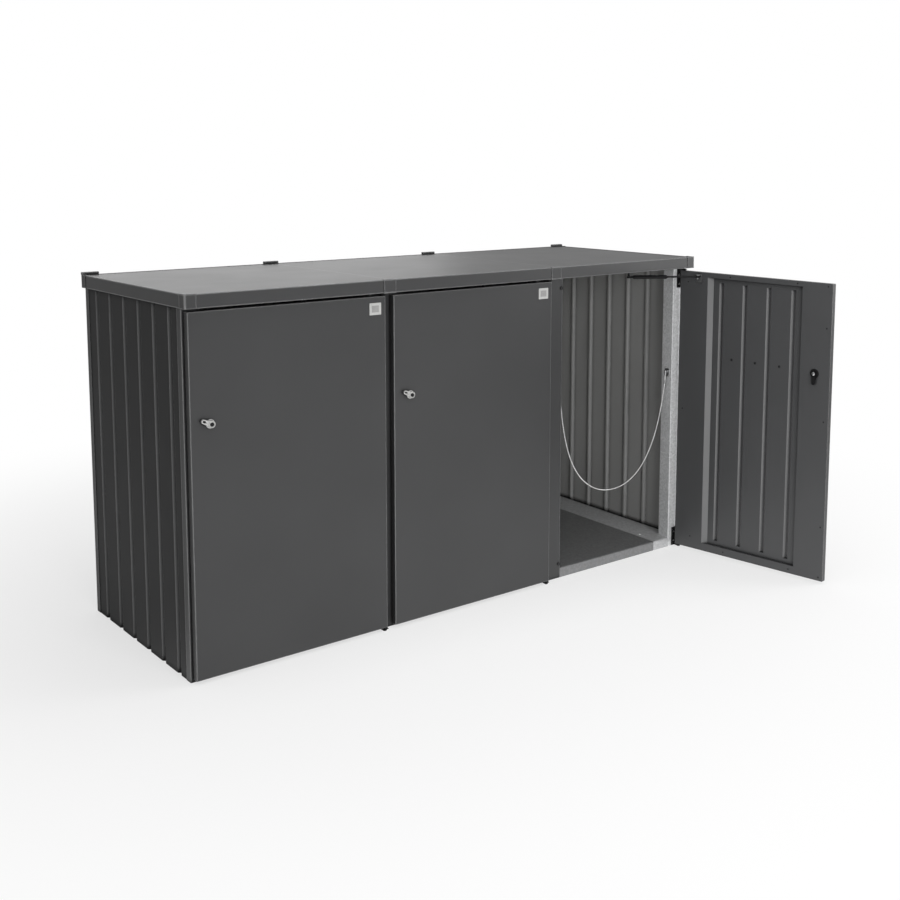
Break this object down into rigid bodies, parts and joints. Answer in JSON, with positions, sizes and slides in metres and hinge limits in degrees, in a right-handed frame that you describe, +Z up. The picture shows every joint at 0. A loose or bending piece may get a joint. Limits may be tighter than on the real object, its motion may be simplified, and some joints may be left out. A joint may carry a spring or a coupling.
{
  "type": "wheelie bin store",
  "caption": "Folded sheet-steel store for wheeled waste containers: ribbed walls, shallow roof, overlay doors with turn locks and gas struts, and a wire across a bay.",
  "frame": {"origin": "middle of the footprint at ground level, on the underside of the middle floor bearer", "axes": "+X to the right along the front, +Y from the doors to the back, +Z up; the doors face -Y"},
  "size_m": [2.3718, 1.5579, 1.275],
  "materials": {
    "sheet_paint": "satin dark grey powder coat",
    "galvanised_steel": "dull zinc coat",
    "bright_steel": "plain zinc plate",
    "lock_metal": "satin plated",
    "label_plate": "satin",
    "strut_paint": "satin black",
    "buffer_rubber": "matt",
    "steel_wire": "plain stranded steel"
  },
  "bodies": {
    "frame": {"centre_post_1": "sheet_paint", "centre_post_2": "sheet_paint", "divider_wall_1": "sheet_paint", "divider_wall_2": "sheet_paint", "door_buffers": "buffer_rubber", "floor_bearers": "galvanised_steel", "floor_plate_1": "galvanised_steel", "floor_plate_2": "galvanised_steel", "floor_plate_3": "galvanised_steel", "floor_strips": "galvanised_steel", "front_fascia_1": "sheet_paint", "front_fascia_2": "sheet_paint", "front_fascia_3": "sheet_paint", "hinge_brackets": "strut_paint", "hinge_pins": "strut_paint", "left_fascia": "sheet_paint", "left_front_post": "sheet_paint", "left_side_wall": "sheet_paint", "lintels": "sheet_paint", "rear_corner_posts": "sheet_paint", "rear_fascias": "sheet_paint", "rear_joint_strips": "sheet_paint", "rear_wall_1": "sheet_paint", "rear_wall_2": "sheet_paint", "rear_wall_3": "sheet_paint", "right_fascia": "sheet_paint", "right_front_post": "galvanised_steel", "right_side_wall": "sheet_paint", "roof_corner_caps": "sheet_paint", "roof_joint_covers": "sheet_paint", "roof_panel_1": "sheet_paint", "roof_panel_2": "sheet_paint", "roof_panel_3": "sheet_paint", "strut_brackets": "strut_paint", "tipping_wire": "steel_wire", "wire_anchors": "bright_steel"},
    "door_1": {"door_1_skin": "sheet_paint", "door_1_liner": "sheet_paint", "door_1_label_plate": "label_plate", "door_1_fittings": "bright_steel", "door_1_lock_body": "lock_metal"},
    "lock_1": {"door_1_lock_knob": "lock_metal"},
    "strut_1_rod": {"strut_1_rod": "strut_paint"},
    "strut_1_cylinder": {"strut_1_cylinder": "strut_paint"},
    "door_2": {"door_2_skin": "sheet_paint", "door_2_liner": "sheet_paint", "door_2_label_plate": "label_plate", "door_2_fittings": "bright_steel", "door_2_lock_body": "lock_metal"},
    "lock_2": {"door_2_lock_knob": "lock_metal"},
    "strut_2_rod": {"strut_2_rod": "strut_paint"},
    "strut_2_cylinder": {"strut_2_cylinder": "strut_paint"},
    "door_3": {"door_3_skin": "sheet_paint", "door_3_liner": "sheet_paint", "door_3_label_plate": "label_plate", "door_3_fittings": "bright_steel", "door_3_lock_body": "lock_metal"},
    "lock_3": {"door_3_lock_knob": "lock_metal"},
    "strut_3_rod": {"strut_3_rod": "strut_paint"},
    "strut_3_cylinder": {"strut_3_cylinder": "strut_paint"}
  },
  "joints": [
    {"name": "door_1_hinge", "type": "hinge", "parent": "frame", "child": "door_1", "pos_m": [-0.403, -0.41, 0.6135], "axis": [0, 0, 1], "range_deg": [0, 99]},
    {"name": "strut_1_swivel", "type": "hinge", "parent": "door_1", "child": "strut_1_rod", "pos_m": [-0.491, -0.381, 1.197], "axis": [0, 0, 1], "range_deg": [-120.03, 0]},
    {"name": "strut_1_slide", "type": "slide", "parent": "strut_1_rod", "child": "strut_1_cylinder", "axis": [-0.9871, 0.1601, 0], "range_m": [0, 0.11135]},
    {"name": "lock_1_turn", "type": "hinge", "parent": "door_1", "child": "lock_1", "pos_m": [-1.05, -0.418, 0.853], "axis": [0, 1, 0], "range_deg": [0, 90]},
    {"name": "door_2_hinge", "type": "hinge", "parent": "frame", "child": "door_2", "pos_m": [0.353, -0.41, 0.6135], "axis": [0, 0, 1], "range_deg": [0, 99]},
    {"name": "strut_2_swivel", "type": "hinge", "parent": "door_2", "child": "strut_2_rod", "pos_m": [0.265, -0.381, 1.197], "axis": [0, 0, 1], "range_deg": [-120.03, 0]},
    {"name": "strut_2_slide", "type": "slide", "parent": "strut_2_rod", "child": "strut_2_cylinder", "axis": [-0.9871, 0.1601, 0], "range_m": [0, 0.11135]},
    {"name": "lock_2_turn", "type": "hinge", "parent": "door_2", "child": "lock_2", "pos_m": [-0.294, -0.418, 0.853], "axis": [0, 1, 0], "range_deg": [0, 90]},
    {"name": "door_3_hinge", "type": "hinge", "parent": "frame", "child": "door_3", "pos_m": [1.109, -0.41, 0.6135], "axis": [0, 0, 1], "range_deg": [-99, 0]},
    {"name": "strut_3_swivel", "type": "hinge", "parent": "door_3", "child": "strut_3_rod", "pos_m": [1.09412, -0.50145, 1.197], "axis": [0, 0, 1], "range_deg": [0, 120.03]},
    {"name": "strut_3_slide", "type": "slide", "parent": "strut_3_rod", "child": "strut_3_cylinder", "axis": [-0.864, 0.5036, 0], "range_m": [-0.11135, 0]},
    {"name": "lock_3_turn", "type": "hinge", "parent": "door_3", "child": "lock_3", "pos_m": [1.21812, -1.04778, 0.853], "axis": [-0.9877, -0.1564, 0], "range_deg": [0, 90]}
  ],
  "couplings": [
    {"joint": "strut_1_swivel", "follows": "door_1_hinge", "ratio": -1.2124},
    {"joint": "strut_1_slide", "follows": "door_1_hinge", "m_per_rad": 0.064445},
    {"joint": "strut_2_swivel", "follows": "door_2_hinge", "ratio": -1.2124},
    {"joint": "strut_2_slide", "follows": "door_2_hinge", "m_per_rad": 0.064445},
    {"joint": "strut_3_swivel", "follows": "door_3_hinge", "ratio": -1.2124},
    {"joint": "strut_3_slide", "follows": "door_3_hinge", "m_per_rad": 0.064445}
  ]
}
